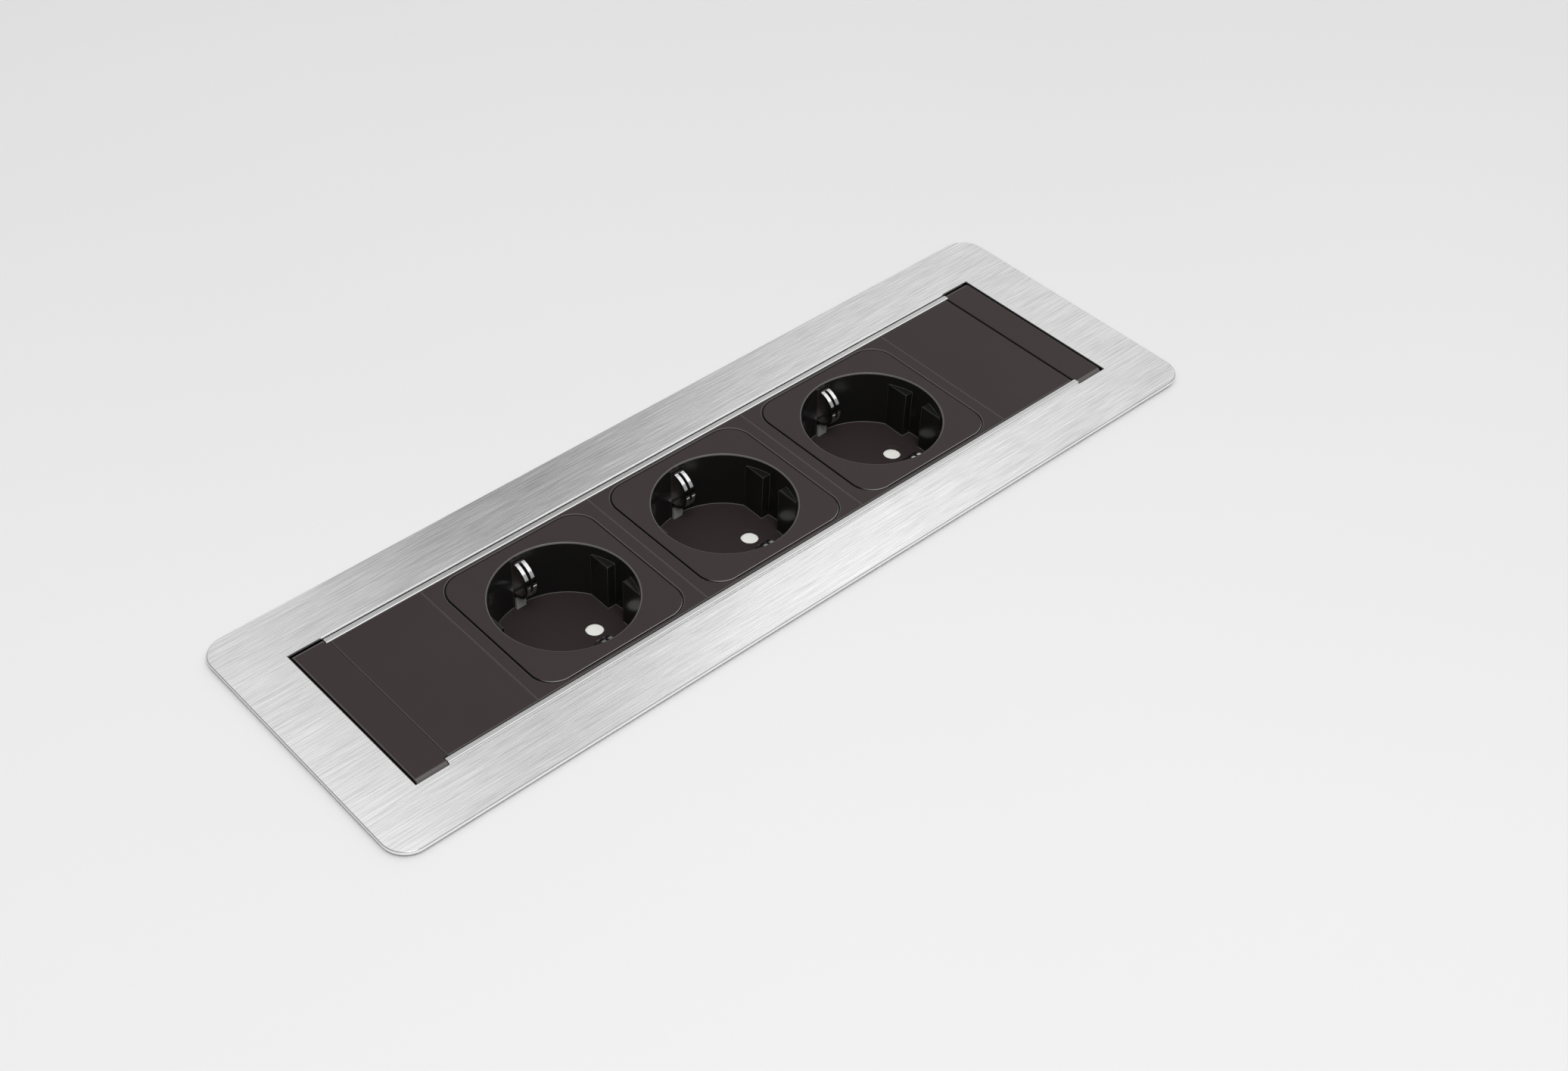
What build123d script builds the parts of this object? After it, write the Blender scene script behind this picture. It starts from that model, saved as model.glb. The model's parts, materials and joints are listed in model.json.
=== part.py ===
from build123d import *
import os
from math import cos, hypot, radians, sin, sqrt

# Built-in power strip whose row of sockets turns over about its long axis.
# Sizes are in millimetres. +X runs along the strip, +Y to its back and +Z up.
# The origin is the middle of the worktop cut-out, level with the worktop's surface,
# which is where the seal under the cover frame rests.

# Cover frame: a flat stainless sheet with a sharp-cornered opening
frame_thickness = 1.0
frame_corner_radius = 6.9
frame_edge_round = 0.2
opening_end_gap = 0.6
opening_side_gap = 0.7
opening_edge_round = 0.35

# Foam seal under the rim of the cover frame
seal_thickness = 1.0
seal_inset = 1.0
seal_band = 2.2
seal_end_gap = 1.2
seal_side_gap = 1.33

# Studs welded under the frame, with nuts below the housing's end flanges
stud_radius = 1.5
stud_length = 6.0
stud_spacing = 44.0
stud_hole_gap = 0.2
nut_width = 5.5
nut_thickness = 2.4
thread_gap = 0.05

# Turning unit: its section is a disc with a flat top and a flat bottom
rail_face_width = 1.62
rail_wall = 1.8
rail_outer_round = 0.4
rail_inner_round = 0.4
rail_overlap = 1.0
ledge_thickness = 1.2
ledge_reach = 2.0
channel_height = 7.0
channel_radius = 2.7
channel_web = 2.2
channel_inset = 4.2

# Row of plastic plates and socket inserts between the rails
insert_thickness = 2.0
insert_side_gap = 0.15
insert_seam = 0.12
insert_edge_round = 0.2
socket_count = 3
socket_end_margin = 7.6
socket_side_margin = 5.0
blank_length = 27.0
left_cap_seam = 0.12
right_cap_seam = 0.6

# Socket well, with its plug guides and pin holes
well_radius = 19.4
well_depth = 18.0
well_wall = 1.6
well_rim_round = 0.45
well_floor = 1.1
field_side_margin = 0.8
field_corner_radius = 7.2
field_groove_width = 0.4
field_groove_depth = 0.5
field_groove_chamfer = 0.14
guide_reach = 2.8
guide_top_depth = 3.2
guide_notch_width = 6.2
guide_edge_round = 0.3
pin_spacing = 19.0
pin_length = 19.0
pin_hole_radius = 2.5
pin_hole_lead = 0.3

# Earth clip: one bent strap with an arm on each side of the well
clip_width = 3.0
clip_thickness = 0.8
clip_wall_inset = 0.4
clip_bow_radius = 5.3
clip_bow_depth = 7.8
clip_bow_reach = 5.1
clip_slot_width = 0.9
clip_slot_end_depth = 11.8
clip_bridge = 0.5
clip_corner_radius = 0.5
clip_gap = 0.25
clip_recess_width = 4.0
clip_recess_back = 0.5
clip_recess_top_depth = 1.4
clip_base_drop = 1.1

# Shutter under each socket floor, turned aside by the plug's pins
shutter_thickness = 1.8
shutter_gap = 0.08
shutter_hub_radius = 3.4
shutter_post_radius = 1.6
shutter_post_gap = 0.05
shutter_inner_margin = 3.3
shutter_outer_margin = 3.5
shutter_space = 0.32
shutter_arm_width = 4.0
shutter_half_angle = 19.0
shutter_travel = 36.0
shutter_spring_radius = 0.8
shutter_spring_clearance = 0.3
shutter_spring_room = 27.0
shutter_stop_width = 1.6

# Contact carrier under each insert, with brass sleeves and bars
carrier_floor = 2.2
carrier_bottom_gap = 0.3
carrier_end_gap = 1.5
carrier_side_gap = 5.4
carrier_lug_size = 6.0
carrier_lug_thickness = 3.0
sleeve_radius = 2.95
sleeve_bore_radius = 2.35
sleeve_drop = 3.2
sleeve_slot = 0.8
sleeve_pocket_gap = 0.5
bar_thickness = 0.8
bar_height = 5.0
bar_offset = 6.0
bar_groove_gap = 0.3
earth_bar_offset = 15.0
earth_bar_width = 4.0

# Posts and screws that hold the carriers and the terminal block
post_radius = 2.3
post_x_inset = 3.8
post_y_inset = 4.5
post_screw_radius = 1.0
post_screw_head_radius = 2.0
post_screw_head_height = 1.4
post_screw_reach = 6.0
screw_gap = 0.05
screw_hole_gap = 0.3

# Snap legs that hook the plates under the rail ledges
leg_width = 8.0
leg_thickness = 1.3
leg_ledge_gap = 0.15
leg_barb_reach = 0.7
leg_barb_height = 1.4
leg_end_distance = 13.0
blank_leg_end_distance = 7.5

# Terminal block under the right-hand plate
terminal_length = 16.0
terminal_side_margin = 3.4
terminal_bottom_gap = 3.3
terminal_drop = 1.1
terminal_wire_radius = 2.0
terminal_screw_radius = 1.7
terminal_screw_length = 5.0
terminal_slot_depth = 7.0

# Cover on the underside of the turning unit
cover_thickness = 1.5

# End caps, screwed into the rails
cap_face_length = 10.2
cap_set_back = 0.22
cap_edge_round = 2.0
cap_rim_round = 0.3
cap_wall = 2.0
cap_end_wall = 2.6
cap_joint_gap = 0.15
cap_boss_wall = 3.0
cap_boss_length = 8.0
cap_screw_head_radius = 2.6
cap_screw_head_height = 1.1
cap_screw_radius = 1.15
cap_screw_reach = 9.0

# Pivots and their bushes
pin_radius = 4.0
trunnion_radius = 7.0
trunnion_bore_radius = 5.0
running_gap = 0.05
press_gap = 0.01
bush_wall = 2.0
bush_flange_reach = 1.6
bush_flange_thickness = 0.8
pivot_end_gap = 0.6

# Housing below the worktop
housing_bore_gap = 1.68
housing_wall = 2.0
housing_end_space = 2.8
housing_end_wall = 2.6
lip_reach = 1.7
lip_thickness = 2.0
end_flange_length = 7.0
rib_end_space = 19.0
rib_count_each_side = 3
rib_height = 1.4
rib_thickness = 1.6
housing_boss_radius = 2.4
housing_boss_inset = 0.35
housing_boss_length = 12.0
housing_boss_angles = (12.0, -50.0)
housing_screw_radius = 1.1
housing_screw_head_radius = 2.3
housing_screw_head_height = 1.7
gusset_place = 12.5
gusset_thickness = 1.6
gusset_drop = 6.0
pivot_boss_wall = 2.4
pivot_boss_floor = 1.3

# Detent: a notched cam on the left pivot and a leaf spring on the housing
cam_radius = 11.0
cam_thickness = 1.6
notch_radius = 1.4
notch_offset = 0.4
detent_leaf_thickness = 0.5
detent_leaf_width = 1.5
detent_leaf_gap = 1.4
detent_crest_reach = 0.4
detent_crest_half = 3.0
detent_bend_radius = 0.7
detent_leaf_half = 15.5
detent_post_width = 3.0
detent_post_height = 3.4
detent_post_place = 14.0
detent_slot_gap = 0.1

# Stop: a lug on the right cap and a half ring on the housing
stop_inner_radius = 12.5
stop_outer_radius = 16.5
stop_lug_width = 3.4
stop_height = 2.2
stop_gap = 0.1

# Cable inlet in the right-hand end of the housing
inlet_radius = 4.2
inlet_seat_length = 2.6
inlet_gap = 0.2
inlet_flange_reach = 1.95
inlet_flange_thickness = 2.2
inlet_mouth_round = 0.6

# Leaf springs that grip the edge of the cut-out
grip_width = 14.0
grip_thickness = 0.6
grip_root_low = 17.4
grip_root_high = 12.6
grip_crest_reach = 2.4
grip_crest_drop = 8.0
grip_tip_reach = 0.9
grip_tip_drop = 3.6
grip_bend_radius = 1.2
rivet_radius = 1.5
rivet_head_radius = 2.4
rivet_head_height = 0.7
rivet_tail_height = 0.5
rivet_hole_gap = 0.05

# One length by which a cutting shape runs past what it cuts
overrun = 1.0

# Derived depths under the socket face, from the well down to the unit's underside
cup_radius = well_radius + well_wall
floor_under_depth = well_depth + well_floor
shutter_top_depth = floor_under_depth + shutter_gap
carrier_top_depth = shutter_top_depth + shutter_thickness + shutter_space
clip_base_depth = carrier_top_depth + clip_base_drop
sleeve_top_depth = carrier_top_depth + sleeve_drop
terminal_top_depth = carrier_top_depth + terminal_drop
pin_end_depth = well_depth + pin_length
sleeve_length = pin_end_depth - sleeve_pocket_gap - sleeve_top_depth
carrier_bottom_depth = pin_end_depth + carrier_floor
terminal_height = carrier_bottom_depth - terminal_bottom_gap - terminal_top_depth
unit_height = carrier_bottom_depth + carrier_bottom_gap + cover_thickness

# Derived section of the turning unit
socket_pitch = 2 * (well_radius + socket_end_margin)
insert_width = 2 * (well_radius + socket_side_margin)
unit_face_width = insert_width + 2 * (insert_side_gap + rail_face_width)
frame_top = seal_thickness + frame_thickness
axis_z = frame_top - unit_height / 2
face_z = unit_height / 2
unit_radius = hypot(unit_face_width / 2, unit_height / 2)
rail_inner_radius = unit_radius - rail_wall
lip_inner_y = unit_face_width / 2 - rail_face_width
ledge_inner_y = lip_inner_y - ledge_reach
channel_y = sqrt(rail_inner_radius**2 - channel_height**2) - channel_inset
cap_radius = unit_radius - cap_set_back

# Derived layout of the sockets and what lies round one socket
socket_places = [(i - (socket_count - 1) / 2) * socket_pitch for i in range(socket_count)]
field_size = insert_width - 2 * field_side_margin
guide_distance = well_radius - guide_reach
clip_wall_distance = well_radius - clip_wall_inset
shutter_inner_radius = pin_spacing / 2 - shutter_inner_margin
shutter_outer_radius = pin_spacing / 2 + shutter_outer_margin
shutter_stop_angle = shutter_half_angle + shutter_travel + shutter_spring_room
carrier_length = socket_pitch - 2 * carrier_end_gap
carrier_width = insert_width - 2 * carrier_side_gap
post_y = insert_width / 2 - post_y_inset
leg_spacing = socket_pitch - 2 * leg_end_distance
blank_leg_spacing = blank_length - 2 * blank_leg_end_distance

# Derived lengths of the unit, its opening, the housing and the frame
row_half = socket_count * socket_pitch / 2 + blank_length
unit_half_length = row_half + cap_face_length
rail_length = 2 * (row_half + rail_overlap)
cap_inner_x = row_half + rail_overlap + cap_joint_gap
terminal_x = row_half - blank_length / 2
opening_length = 2 * (unit_half_length + opening_end_gap)
opening_width = unit_face_width + 2 * opening_side_gap
opening_relief = frame_thickness / 2
housing_inner_radius = unit_radius + housing_bore_gap
housing_outer_radius = housing_inner_radius + housing_wall
housing_half = unit_half_length + housing_end_space
housing_face = housing_half + housing_end_wall
lip_y = housing_outer_radius + lip_reach
flange_end = housing_face + end_flange_length
stud_x = housing_face + end_flange_length / 2
boss_circle_radius = housing_outer_radius - housing_boss_inset
rib_pitch = (housing_half - rib_end_space) / rib_count_each_side
grip_place = 3 * rib_pitch / 2
frame_length = 2 * (flange_end + seal_end_gap + seal_band + seal_inset)
frame_width = 2 * (lip_y + seal_side_gap + seal_band + seal_inset)
notch_centre_radius = cam_radius + notch_offset
detent_leaf_drop = cam_radius + detent_leaf_gap
detent_crest_drop = cam_radius - detent_crest_reach

UNIT = Pos(0, 0, axis_z)


def block(low, high):
    """A box between its low and high corners."""
    size = [b - a for a, b in zip(low, high)]
    return Pos(*low) * Box(*size, align=(Align.MIN, Align.MIN, Align.MIN))


def below(depth):
    """Height, from the turning axis, of a level that lies this deep under the socket face."""
    return face_z - depth


def tube_z(radius, low, high):
    """A solid cylinder along Z."""
    return Pos(0, 0, low) * Cylinder(radius, high - low, align=(Align.CENTER, Align.CENTER, Align.MIN))


def tube_x(radius, start, end):
    """A solid cylinder along X."""
    low, high = min(start, end), max(start, end)
    return Pos(low, 0, 0) * (Rot(0, 90, 0) * Cylinder(
        radius, high - low, align=(Align.CENTER, Align.CENTER, Align.MIN)))


def along_x(section, start, end):
    """A section drawn in the YZ plane and extruded from one X to another."""
    low, high = min(start, end), max(start, end)
    return Pos(low, 0, 0) * extrude(Plane.YZ * section, high - low)


def polar(radius, angle):
    """A point in the YZ plane, its angle counted from +Y towards +Z."""
    return (radius * cos(radians(angle)), radius * sin(radians(angle)))


def x_edges_near(solid, y, z):
    """The edge along X that lies nearest to a place in the YZ plane."""
    edges = solid.edges().filter_by(Axis.X)
    return edges.sort_by(lambda e: hypot(e.center().Y - y, e.center().Z - z))[0]


def group(solids):
    """Several separate solids in one node."""
    return Compound(children=list(solids))


# Cover frame, seal and their fixings


def rim_edges(sheet, level, half_x, half_y):
    """The edges of the opening at the sheet's lowest (0) or highest (-1) level."""
    edges = sheet.edges().group_by(Axis.Z)[level]
    return [e for e in edges if abs(e.center().X) <= half_x and abs(e.center().Y) <= half_y]


def make_cover_frame():
    """The stainless sheet that shows round the opening."""
    outline = RectangleRounded(frame_length, frame_width, frame_corner_radius)
    sheet = extrude(Plane.XY.offset(seal_thickness) * outline, frame_thickness)
    sheet = fillet(sheet.edges().group_by(Axis.Z)[-1], frame_edge_round)
    half_x, half_y = opening_length / 2, opening_width / 2
    sheet -= block((-half_x, -half_y, 0), (half_x, half_y, frame_top + overrun))
    sheet = chamfer(rim_edges(sheet, 0, half_x, half_y), opening_relief)
    return fillet(rim_edges(sheet, -1, half_x, half_y), opening_edge_round)


def make_seal():
    """The foam band between the frame and the worktop."""
    length = frame_length - 2 * seal_inset
    width = frame_width - 2 * seal_inset
    corner = frame_corner_radius - seal_inset
    outer = RectangleRounded(length, width, corner)
    inner = RectangleRounded(length - 2 * seal_band, width - 2 * seal_band, corner - seal_band)
    return extrude(outer - inner, seal_thickness)


def stud_places():
    """The four studs, two at each end of the frame."""
    return [(sx * stud_x, sy * stud_spacing / 2) for sx in (-1, 1) for sy in (-1, 1)]


def make_frame_studs():
    return group(Pos(x, y, 0) * tube_z(stud_radius, seal_thickness - stud_length, seal_thickness)
                 for x, y in stud_places())


def make_frame_nuts():
    top = seal_thickness - lip_thickness
    hexagon = RegularPolygon(nut_width / 2, 6, major_radius=False) - Circle(stud_radius + thread_gap)
    nut = extrude(Plane.XY.offset(top - nut_thickness) * hexagon, nut_thickness)
    return group(Pos(x, y, 0) * nut for x, y in stud_places())


# Housing


def housing_section(radius):
    """A trough section: straight sides down to the turning axis and half a circle below."""
    sides_height = seal_thickness - axis_z
    whole = Pos(0, (sides_height - radius) / 2) * Rectangle(2 * radius, sides_height + radius)
    sides = Pos(0, sides_height / 2) * Rectangle(2 * radius, sides_height)
    return (Circle(radius) & whole) + sides


def lip_section():
    """The outward lip at the top of the trough."""
    top = seal_thickness - axis_z
    return Pos(0, top - lip_thickness / 2) * Rectangle(2 * lip_y, lip_thickness)


def boss_centres():
    """The housing screws of one end, as places in the YZ plane round the turning axis."""
    places = []
    for angle in housing_boss_angles:
        y, z = polar(boss_circle_radius, angle)
        places += [(y, z), (-y, z)]
    return places


def grip_places():
    """The four leaf springs: place along X and side of the housing."""
    return [(sx * grip_place, sy) for sy in (-1, 1) for sx in (-1, 1)]


def rivet_height():
    """The rivets go through the middle of the springs' roots."""
    return seal_thickness - (grip_root_low + grip_root_high) / 2


def across_y(radius, side, start, end):
    """A cylinder along Y on one side of the housing, between two distances from the middle."""
    rod = Rot(-90, 0, 0) * Cylinder(radius, end - start, align=(Align.CENTER, Align.CENTER, Align.MIN))
    rod = Pos(0, start, rivet_height()) * rod
    return rod if side > 0 else Rot(0, 0, 180) * rod


def make_housing_trough():
    """The moulded trough in which the unit turns, open at the top and at both ends."""
    body = along_x(housing_section(housing_outer_radius) + lip_section(), -housing_half, housing_half)
    rib = housing_section(housing_outer_radius + rib_height)
    for i in range(-rib_count_each_side, rib_count_each_side + 1):
        middle = i * rib_pitch
        body += along_x(rib, middle - rib_thickness / 2, middle + rib_thickness / 2)
    for side in (-1, 1):
        for y, z in boss_centres():
            inner_x = side * (housing_half - housing_boss_length)
            body += Pos(0, y, z) * tube_x(housing_boss_radius, inner_x, side * housing_half)
    body -= along_x(housing_section(housing_inner_radius), -housing_half - overrun, housing_half + overrun)
    for side in (-1, 1):
        for y, z in boss_centres():
            inner_x = side * (housing_half - housing_boss_length + housing_wall)
            hole = tube_x(housing_screw_radius + thread_gap, inner_x, side * (housing_half + overrun))
            body -= Pos(0, y, z) * hole
    body = UNIT * body
    for x, side in grip_places():
        body -= Pos(x, 0, 0) * across_y(rivet_radius + rivet_hole_gap, side,
                                        housing_inner_radius - overrun, lip_y)
    return body


def end_plate(side):
    """What both ends of the housing share: wall, top flange, ears, stiffening gussets."""
    inner, outer = side * housing_half, side * housing_face
    wall = along_x(housing_section(housing_outer_radius), inner, outer)
    for y, z in boss_centres():
        wall += Pos(0, y, z) * tube_x(housing_boss_radius, inner, outer)
    wall += along_x(lip_section(), inner, side * flange_end)
    flange_low = seal_thickness - axis_z - lip_thickness
    for y_side in (-1, 1):
        corner = Polyline((outer, flange_low), (side * flange_end, flange_low),
                          (outer, flange_low - gusset_drop), close=True)
        web = extrude(Plane.XZ * make_face(corner), gusset_thickness / 2, both=True)
        wall += Pos(0, y_side * gusset_place, 0) * web
    for y, z in boss_centres():
        reach = side * (housing_face + overrun)
        wall -= Pos(0, y, z) * tube_x(housing_screw_radius + screw_hole_gap, inner - side * overrun, reach)
    return wall


def drill_stud_holes(plate):
    """Clearance holes for the frame's studs."""
    for x, y in stud_places():
        plate -= Pos(x, y, 0) * tube_z(stud_radius + stud_hole_gap, -lip_thickness, frame_top)
    return plate


def make_housing_end_left():
    """The end with the blind pivot boss and the posts of the detent spring."""
    plate = end_plate(-1)
    bush_outer = pin_radius + running_gap + bush_wall
    pocket_end = -(housing_face + pivot_boss_wall)
    plate += tube_x(bush_outer + pivot_boss_wall, -housing_face, pocket_end - pivot_boss_floor)
    plate -= tube_x(bush_outer + press_gap, -housing_half + overrun, pocket_end)
    leaf = detent_leaf(detent_leaf_thickness + 2 * detent_slot_gap)
    for y_side in (-1, 1):
        y_mid, z_mid = y_side * detent_post_place, -detent_leaf_drop
        low = (-housing_half, y_mid - detent_post_width / 2, z_mid - detent_post_height / 2)
        high = (leaf_outer_x(), y_mid + detent_post_width / 2, z_mid + detent_post_height / 2)
        plate += block(low, high) - leaf
    return drill_stud_holes(UNIT * plate)


def make_housing_end_right():
    """The end with the cable inlet's boss and the half ring that stops the unit."""
    plate = end_plate(1)
    bush_outer = trunnion_radius + running_gap + bush_wall
    boss_end = housing_face + pivot_boss_wall + inlet_seat_length
    plate += tube_x(bush_outer + pivot_boss_wall, housing_face, boss_end)
    plate -= tube_x(bush_outer + press_gap, housing_half - overrun, boss_end + overrun)
    ring = Circle(stop_outer_radius) - Circle(stop_inner_radius)
    stop_top = stop_lug_width / 2 + stop_gap
    ring &= Pos(0, -stop_top - stop_outer_radius) * Rectangle(2 * stop_outer_radius, 2 * stop_outer_radius)
    plate += along_x(ring, housing_half - stop_height, housing_half)
    return drill_stud_holes(UNIT * plate)


def make_housing_screws():
    """The screws that hold both ends to the trough."""
    screws = []
    for side in (-1, 1):
        for y, z in boss_centres():
            tip = side * (housing_half - housing_boss_length + 2 * housing_wall)
            shank = tube_x(housing_screw_radius, tip, side * housing_face)
            outer = side * (housing_face + housing_screw_head_height)
            head = tube_x(housing_screw_head_radius, side * housing_face, outer)
            screws.append(UNIT * Pos(0, y, z) * (shank + head))
    return group(screws)


def make_grip_spring(x, side):
    """A bowed leaf spring, riveted to the outside of the housing."""
    root_y = housing_outer_radius + grip_thickness / 2
    top = seal_thickness
    path = FilletPolyline(
        (root_y, top - grip_root_low),
        (root_y, top - grip_root_high),
        (housing_outer_radius + grip_crest_reach, top - grip_crest_drop),
        (housing_outer_radius + grip_tip_reach, top - grip_tip_drop),
        radius=grip_bend_radius)
    strip = Pos(-grip_width / 2, 0, 0) * extrude(Plane.YZ * trace(path, grip_thickness), grip_width)
    strip -= across_y(rivet_radius + rivet_hole_gap, 1, housing_inner_radius, lip_y + overrun)
    spring = strip if side > 0 else Rot(0, 0, 180) * strip
    return Pos(x, 0, 0) * spring


def make_grip_rivets():
    rivets = []
    for x, side in grip_places():
        outer = housing_outer_radius + grip_thickness
        rivet = across_y(rivet_radius, side, housing_inner_radius, outer)
        rivet += across_y(rivet_head_radius, side, outer, outer + rivet_head_height)
        rivet += across_y(rivet_head_radius, side, housing_inner_radius - rivet_tail_height,
                          housing_inner_radius)
        rivets.append(Pos(x, 0, 0) * rivet)
    return group(rivets)


# Pivots, bushes, detent, stop and cable inlet


def make_bush(side, shaft_radius):
    """A flanged bush in one end of the housing."""
    bore = shaft_radius + running_gap
    outer = bore + bush_wall
    end = side * (housing_face + pivot_boss_wall)
    bush = tube_x(outer, side * housing_half, end)
    flange_start = side * (housing_half - bush_flange_thickness)
    bush += tube_x(outer + bush_flange_reach, flange_start, side * housing_half)
    bush -= tube_x(bore, flange_start - side * overrun, end + side * overrun)
    return UNIT * bush


def make_pivot_pin():
    """The steel pin in the left cap."""
    start = -(unit_half_length - cap_boss_length)
    end = -(housing_face + pivot_boss_wall - pivot_end_gap)
    pin = tube_x(pin_radius, start, end)
    rims = pin.edges().filter_by(GeomType.CIRCLE)
    return UNIT * chamfer(rims, pivot_end_gap)


def make_cable_trunnion():
    """The hollow pivot in the right cap, through which the supply lead reaches the unit."""
    start = unit_half_length - cap_boss_length
    end = housing_face + pivot_boss_wall - pivot_end_gap
    sleeve = tube_x(trunnion_radius, start, end)
    sleeve += tube_x(trunnion_radius + bush_flange_reach, start - bush_wall, start)
    sleeve -= tube_x(trunnion_bore_radius, start - bush_wall - overrun, end + overrun)
    return UNIT * sleeve


def make_detent_cam():
    """A disc with two notches half a turn apart."""
    disc = Circle(cam_radius) - Circle(pin_radius + press_gap)
    for z_side in (-1, 1):
        disc -= Pos(0, z_side * notch_centre_radius) * Circle(notch_radius)
    return UNIT * along_x(disc, -unit_half_length - cam_thickness, -unit_half_length)


def leaf_outer_x():
    """Where the detent leaf's edge nearest to the cap lies."""
    return -unit_half_length - (housing_end_space - bush_flange_thickness - detent_leaf_width) / 2


def detent_leaf(thickness):
    """The leaf: straight wings with a crest that drops into the cam's lower notch."""
    path = FilletPolyline(
        (-detent_leaf_half, -detent_leaf_drop),
        (-detent_crest_half, -detent_leaf_drop),
        (0, -detent_crest_drop),
        (detent_crest_half, -detent_leaf_drop),
        (detent_leaf_half, -detent_leaf_drop),
        radius=detent_bend_radius)
    return along_x(trace(path, thickness), leaf_outer_x() - detent_leaf_width, leaf_outer_x())


def make_detent_spring():
    return UNIT * detent_leaf(detent_leaf_thickness)


def make_cable_inlet():
    """The bush through which the supply lead enters, with a rounded mouth."""
    seat = trunnion_radius + running_gap + bush_wall
    start = housing_face + pivot_boss_wall + inlet_gap
    shoulder = housing_face + pivot_boss_wall + inlet_seat_length
    end = shoulder + inlet_flange_thickness
    inlet = tube_x(seat, start, shoulder)
    inlet += tube_x(seat + inlet_flange_reach, shoulder, end)
    inlet -= tube_x(inlet_radius, start - overrun, end + overrun)
    mouth = inlet.edges().filter_by(GeomType.CIRCLE).group_by(Axis.X)[-1].sort_by(SortBy.RADIUS)[0]
    inlet = fillet(mouth, inlet_mouth_round)
    rim = inlet.edges().filter_by(GeomType.CIRCLE).group_by(Axis.X)[-1].sort_by(SortBy.RADIUS)[-1]
    return UNIT * chamfer(rim, inlet_mouth_round)


# Turning unit: rails, caps and cover


def rail_profile():
    """Section of the rail on the +Y side."""
    wall = Circle(unit_radius) - Circle(rail_inner_radius)
    outer = unit_radius + overrun
    lips = Sketch()
    for z_side, plate in ((1, insert_thickness), (-1, cover_thickness)):
        ledge_top = face_z - plate
        ledge_bottom = ledge_top - ledge_thickness
        lip_middle = z_side * (face_z + ledge_bottom) / 2
        lip = Rectangle(outer - lip_inner_y, face_z - ledge_bottom)
        lips += Pos((outer + lip_inner_y) / 2, lip_middle) * lip
        ledge = Rectangle(outer - ledge_inner_y, ledge_thickness)
        lips += Pos((outer + ledge_inner_y) / 2, z_side * (ledge_top + ledge_bottom) / 2) * ledge
    channels = Sketch()
    for z_side in (-1, 1):
        centre = (channel_y, z_side * channel_height)
        channels += Pos(*centre) * Circle(channel_radius)
        channels += Pos((channel_y + outer) / 2, centre[1]) * Rectangle(outer - channel_y, channel_web)
    half_band = Pos((ledge_inner_y + outer) / 2, 0) * Rectangle(outer - ledge_inner_y, unit_height)
    wall = (wall + lips + channels) & (Circle(unit_radius) & half_band)
    for z_side, plate in ((1, insert_thickness), (-1, cover_thickness)):
        seat = Rectangle(lip_inner_y, 2 * plate)
        wall -= Pos(lip_inner_y / 2, z_side * face_z) * seat
        wall -= Pos(channel_y, z_side * channel_height) * Circle(cap_screw_radius + thread_gap)
    return wall


def make_rail(side):
    """One of the two aluminium extrusions that carry the plates and sockets."""
    rail = along_x(rail_profile(), -rail_length / 2, rail_length / 2)
    for z in (face_z, -face_z):
        rail = fillet(x_edges_near(rail, unit_face_width / 2, z), rail_outer_round)
        rail = fillet(x_edges_near(rail, lip_inner_y, z), rail_inner_round)
    if side < 0:
        rail = Rot(0, 0, 180) * rail
    return UNIT * rail


def cap_section(inset):
    """Section of an end cap, drawn in by a wall."""
    return Circle(cap_radius - inset) & Rectangle(2 * cap_radius, unit_height - 2 * inset)


def cap_screw_centres():
    """The screws of one cap, as places in the YZ plane."""
    return [(sy * channel_y, sz * channel_height) for sy in (-1, 1) for sz in (-1, 1)]


def cap_shell(side, seam, shaft_radius):
    """A hollow cap with a pivot boss, screw holes and tongues that close the ends of the row."""
    outer_x, inner_x = side * unit_half_length, side * cap_inner_x
    solid = along_x(cap_section(0), inner_x, outer_x)
    long_edges = solid.edges().filter_by(Axis.X)
    solid = fillet(long_edges, cap_edge_round)
    end_face = solid.faces().filter_by(GeomType.PLANE).sort_by(lambda f: side * f.center().X)[-1]
    solid = fillet(end_face.edges(), cap_rim_round)
    solid -= along_x(cap_section(cap_wall), inner_x - side * overrun, outer_x - side * cap_end_wall)
    for z_side, plate in ((1, insert_thickness), (-1, cover_thickness)):
        z_levels = sorted((z_side * face_z, z_side * (face_z - plate)))
        x_levels = sorted((side * (row_half + seam), side * (cap_inner_x + overrun)))
        solid += block((x_levels[0], -insert_width / 2, z_levels[0]),
                       (x_levels[1], insert_width / 2, z_levels[1]))
    boss_start = side * (unit_half_length - cap_boss_length)
    solid += tube_x(shaft_radius + cap_boss_wall, boss_start, outer_x - side * cap_rim_round)
    solid -= tube_x(shaft_radius + press_gap, boss_start - side * overrun, outer_x + side * overrun)
    for y, z in cap_screw_centres():
        through = tube_x(cap_screw_radius + screw_hole_gap, inner_x, outer_x + side * overrun)
        seat_x = outer_x - side * (cap_screw_head_height + screw_gap)
        seat = tube_x(cap_screw_head_radius + screw_hole_gap, seat_x, outer_x + side * overrun)
        solid -= Pos(0, y, z) * (through + seat)
    return solid


def make_end_cap_left():
    return UNIT * cap_shell(-1, left_cap_seam, pin_radius)


def make_end_cap_right():
    cap = cap_shell(1, right_cap_seam, trunnion_radius)
    half = stop_lug_width / 2
    lug = block((unit_half_length - cap_end_wall, stop_inner_radius, -half),
                (unit_half_length + stop_height, stop_outer_radius, half))
    return UNIT * (cap + lug)


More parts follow.
